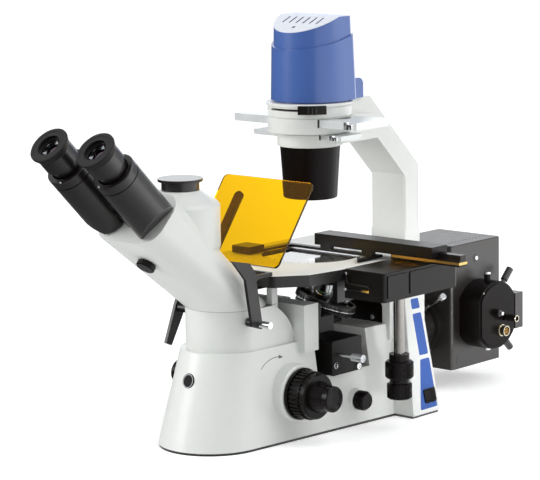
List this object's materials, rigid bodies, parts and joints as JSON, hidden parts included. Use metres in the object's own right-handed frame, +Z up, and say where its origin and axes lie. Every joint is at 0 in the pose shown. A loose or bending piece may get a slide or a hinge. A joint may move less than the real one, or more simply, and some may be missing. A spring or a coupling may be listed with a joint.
{
  "type": "inverted microscope",
  "caption": "Inverted trinocular microscope with an illumination arm, phase-contrast slider, mechanical stage, objective turret and a rear fluorescence lamp house.",
  "frame": {"origin": "on the bench, straight under the optical axis of the objective", "axes": "+Z up along the optical axis; -Y towards the user and the eyepieces; +X to the user's right, the side of the stage drive"},
  "size_m": [0.323, 0.7349, 0.485],
  "materials": {
    "base_casting": "off-white smooth paint on cast aluminium",
    "head_casting": "off-white smooth paint on cast aluminium",
    "illumination_arm": "off-white smooth paint on cast aluminium",
    "lamp_house": "black fine-texture paint on aluminium",
    "socket_cap": "black fine-texture paint on aluminium",
    "collector_tube": "black fine-texture paint on aluminium",
    "stage_drive_housing": "black fine-texture paint on aluminium",
    "base_plate": "black paint",
    "base_pads": "black rubber",
    "rear_panels": "blue satin",
    "lamp_housing": "blue satin",
    "front_badge": "plain satin disc",
    "switch_bezel": "black",
    "switch_rocker": "black",
    "power_inlet": "black",
    "power_board": "green circuit board",
    "fold_mirrors": "front-silvered glass",
    "stage_plate": "light grey anodised",
    "glass_insert": "clear glass",
    "stage_shaft": "polished",
    "guide_rail": "black anodised",
    "x_bar": "black anodised",
    "specimen_holder": "black anodised",
    "stage_y_knob": "black",
    "stage_x_knob": "black",
    "coarse_knobs": "black",
    "fine_knobs": "black",
    "tension_ring": "black",
    "intensity_knob": "black",
    "lamp_module": "machined",
    "aperture_lever": "black",
    "phase_slider": "grey anodised",
    "diffuser_slider": "grey anodised",
    "condenser_cone": "black anodised",
    "condenser_lens": "coated glass",
    "phototube_cap": "black",
    "light_path_knob": "black",
    "prism_housing_right": "black satin paint on aluminium",
    "prism_housing_left": "black satin paint on aluminium",
    "eyepiece_right": "black anodised",
    "eyepiece_left": "black anodised",
    "eyecup_right": "soft black rubber",
    "eyecup_left": "soft black rubber",
    "focus_carriage": "blackened steel",
    "turret_ring": "black knurled ring",
    "objective_a": "satin chrome",
    "objective_b": "satin chrome",
    "objective_c": "satin chrome",
    "objective_d": "satin chrome",
    "filter_box": "black",
    "filter_slider": "black anodised",
    "shield_bracket": "black",
    "amber_shield": "clear amber acrylic",
    "shield_arm": "black",
    "socket_connector": "nickel",
    "arc_lamp": "quartz",
    "epi_lever": "black",
    "lamp_focus_knob": "black",
    "lamp_centring_upper": "black",
    "lamp_centring_lower": "black"
  },
  "bodies": {
    "stand": {"base_casting": "base_casting", "head_casting": "head_casting", "illumination_arm": "illumination_arm", "lamp_house": "lamp_house", "socket_cap": "socket_cap", "collector_tube": "collector_tube", "stage_drive_housing": "stage_drive_housing", "base_plate": "base_plate", "base_pads": "base_pads", "rear_panels": "rear_panels", "lamp_housing": "lamp_housing", "front_badge": "front_badge", "switch_bezel": "switch_bezel", "power_inlet": "power_inlet", "power_board": "power_board", "fold_mirrors": "fold_mirrors", "stage_plate": "stage_plate", "glass_insert": "glass_insert", "stage_shaft": "stage_shaft", "lamp_module": "lamp_module", "condenser_cone": "condenser_cone", "condenser_lens": "condenser_lens", "filter_box": "filter_box", "shield_bracket": "shield_bracket", "socket_connector": "socket_connector", "arc_lamp": "arc_lamp"},
    "stage_y": {"guide_rail": "guide_rail"},
    "stage_x": {"x_bar": "x_bar", "specimen_holder": "specimen_holder"},
    "stage_y_control": {"stage_y_knob": "stage_y_knob"},
    "stage_x_control": {"stage_x_knob": "stage_x_knob"},
    "rocker": {"switch_rocker": "switch_rocker"},
    "aperture": {"aperture_lever": "aperture_lever"},
    "phase": {"phase_slider": "phase_slider"},
    "diffuser": {"diffuser_slider": "diffuser_slider"},
    "port_cap": {"phototube_cap": "phototube_cap"},
    "light_path": {"light_path_knob": "light_path_knob"},
    "tube_right": {"prism_housing_right": "prism_housing_right"},
    "tube_left": {"prism_housing_left": "prism_housing_left"},
    "ocular_right": {"eyepiece_right": "eyepiece_right", "eyecup_right": "eyecup_right"},
    "ocular_left": {"eyepiece_left": "eyepiece_left", "eyecup_left": "eyecup_left"},
    "carriage": {"focus_carriage": "focus_carriage"},
    "turret": {"turret_ring": "turret_ring", "objective_a": "objective_a", "objective_b": "objective_b", "objective_c": "objective_c", "objective_d": "objective_d"},
    "coarse": {"coarse_knobs": "coarse_knobs"},
    "fine": {"fine_knobs": "fine_knobs"},
    "tension": {"tension_ring": "tension_ring"},
    "intensity": {"intensity_knob": "intensity_knob"},
    "filters": {"filter_slider": "filter_slider"},
    "shield": {"amber_shield": "amber_shield", "shield_arm": "shield_arm"},
    "epi": {"epi_lever": "epi_lever"},
    "lamp_focus": {"lamp_focus_knob": "lamp_focus_knob"},
    "centring_upper": {"lamp_centring_upper": "lamp_centring_upper"},
    "centring_lower": {"lamp_centring_lower": "lamp_centring_lower"}
  },
  "joints": [
    {"name": "stage_y_slide", "type": "slide", "parent": "stand", "child": "stage_y", "axis": [0, 1, 0], "range_m": [-0.039, 0.039]},
    {"name": "stage_x_slide", "type": "slide", "parent": "stage_y", "child": "stage_x", "axis": [1, 0, 0], "range_m": [-0.06, 0.06]},
    {"name": "stage_y_knob_turn", "type": "hinge", "parent": "stand", "child": "stage_y_control", "pos_m": [0.128, 0.008, 0.073], "axis": [0, 0, 1], "range_deg": [-470, 470]},
    {"name": "stage_x_knob_turn", "type": "hinge", "parent": "stand", "child": "stage_x_control", "pos_m": [0.128, 0.008, 0.047], "axis": [0, 0, 1], "range_deg": [-722, 722]},
    {"name": "switch_rock", "type": "hinge", "parent": "stand", "child": "rocker", "pos_m": [0.10489, 0.093, 0.02236], "axis": [-0.2067, 0, 0.9784], "range_deg": [0, 14]},
    {"name": "aperture_swing", "type": "hinge", "parent": "stand", "child": "aperture", "pos_m": [0, 0, 0.377], "axis": [0, 0, 1], "range_deg": [-60, 0]},
    {"name": "phase_slide", "type": "slide", "parent": "stand", "child": "phase", "axis": [1, 0, 0], "range_m": [-0.045, 0.045]},
    {"name": "diffuser_slide", "type": "slide", "parent": "stand", "child": "diffuser", "axis": [1, 0, 0], "range_m": [-0.034, 0.034]},
    {"name": "port_cap_lift", "type": "slide", "parent": "stand", "child": "port_cap", "axis": [0, 0, 1], "range_m": [0, 0.03]},
    {"name": "light_path_pull", "type": "slide", "parent": "stand", "child": "light_path", "axis": [0, -0.6285, -0.7778], "range_m": [0, 0.008]},
    {"name": "tube_right_swing", "type": "hinge", "parent": "stand", "child": "tube_right", "pos_m": [0, -0.391, 0.369], "axis": [0, -0.7071, 0.7071], "range_deg": [0, 38]},
    {"name": "tube_left_swing", "type": "hinge", "parent": "stand", "child": "tube_left", "pos_m": [0, -0.391, 0.369], "axis": [0, -0.7071, 0.7071], "range_deg": [-38, 0]},
    {"name": "dioptre_right", "type": "hinge", "parent": "tube_right", "child": "ocular_right", "pos_m": [0.036, -0.391, 0.369], "axis": [0, 0.7071, -0.7071], "range_deg": [-150, 150]},
    {"name": "dioptre_left", "type": "hinge", "parent": "tube_left", "child": "ocular_left", "pos_m": [-0.036, -0.391, 0.369], "axis": [0, 0.7071, -0.7071], "range_deg": [-150, 150]},
    {"name": "focus_slide", "type": "slide", "parent": "stand", "child": "carriage", "axis": [0, 0, 1], "range_m": [-0.007, 0.002]},
    {"name": "turret_spin", "type": "hinge", "parent": "carriage", "child": "turret", "pos_m": [0.01202, 0.01082, 0.14061], "axis": [0.2419, 0.2178, 0.9455], "continuous": true},
    {"name": "coarse_turn", "type": "hinge", "parent": "stand", "child": "coarse", "pos_m": [0, -0.105, 0.056], "axis": [1, 0, 0], "range_deg": [-67, 19.5]},
    {"name": "fine_turn", "type": "hinge", "parent": "stand", "child": "fine", "pos_m": [0, -0.105, 0.056], "axis": [1, 0, 0], "continuous": true},
    {"name": "tension_turn", "type": "hinge", "parent": "stand", "child": "tension", "pos_m": [0.0743, -0.105, 0.056], "axis": [1, 0, 0], "range_deg": [0, 60]},
    {"name": "intensity_turn", "type": "hinge", "parent": "stand", "child": "intensity", "pos_m": [0.08, -0.006, 0.031], "axis": [1, 0, 0], "range_deg": [0, 280]},
    {"name": "filter_slide", "type": "slide", "parent": "stand", "child": "filters", "axis": [1, 0, 0], "range_m": [0, 0.036]},
    {"name": "shield_tilt", "type": "hinge", "parent": "stand", "child": "shield", "pos_m": [-0.0555, -0.1327, 0.2079], "axis": [1, 0, 0], "range_deg": [-10, 30]},
    {"name": "epi_lever_pull", "type": "slide", "parent": "stand", "child": "epi", "axis": [0.745, 0, 0.667], "range_m": [0, 0.01]},
    {"name": "lamp_focus_turn", "type": "hinge", "parent": "stand", "child": "lamp_focus", "pos_m": [0.09, 0.28, 0.087], "axis": [1, 0, 0], "continuous": true},
    {"name": "centring_upper_turn", "type": "hinge", "parent": "stand", "child": "centring_upper", "pos_m": [0.066, 0.29, 0.122], "axis": [0, 0.7071, 0.7071], "continuous": true},
    {"name": "centring_lower_turn", "type": "hinge", "parent": "stand", "child": "centring_lower", "pos_m": [0.066, 0.29, 0.062], "axis": [0, 0.7071, -0.7071], "continuous": true}
  ],
  "couplings": [
    {"joint": "stage_y_knob_turn", "follows": "stage_y_slide", "rad_per_m": 209.44},
    {"joint": "stage_x_knob_turn", "follows": "stage_x_slide", "rad_per_m": 209.44},
    {"joint": "coarse_turn", "follows": "focus_slide", "rad_per_m": 166.66},
    {"joint": "tube_left_swing", "follows": "tube_right_swing", "ratio": -1}
  ]
}
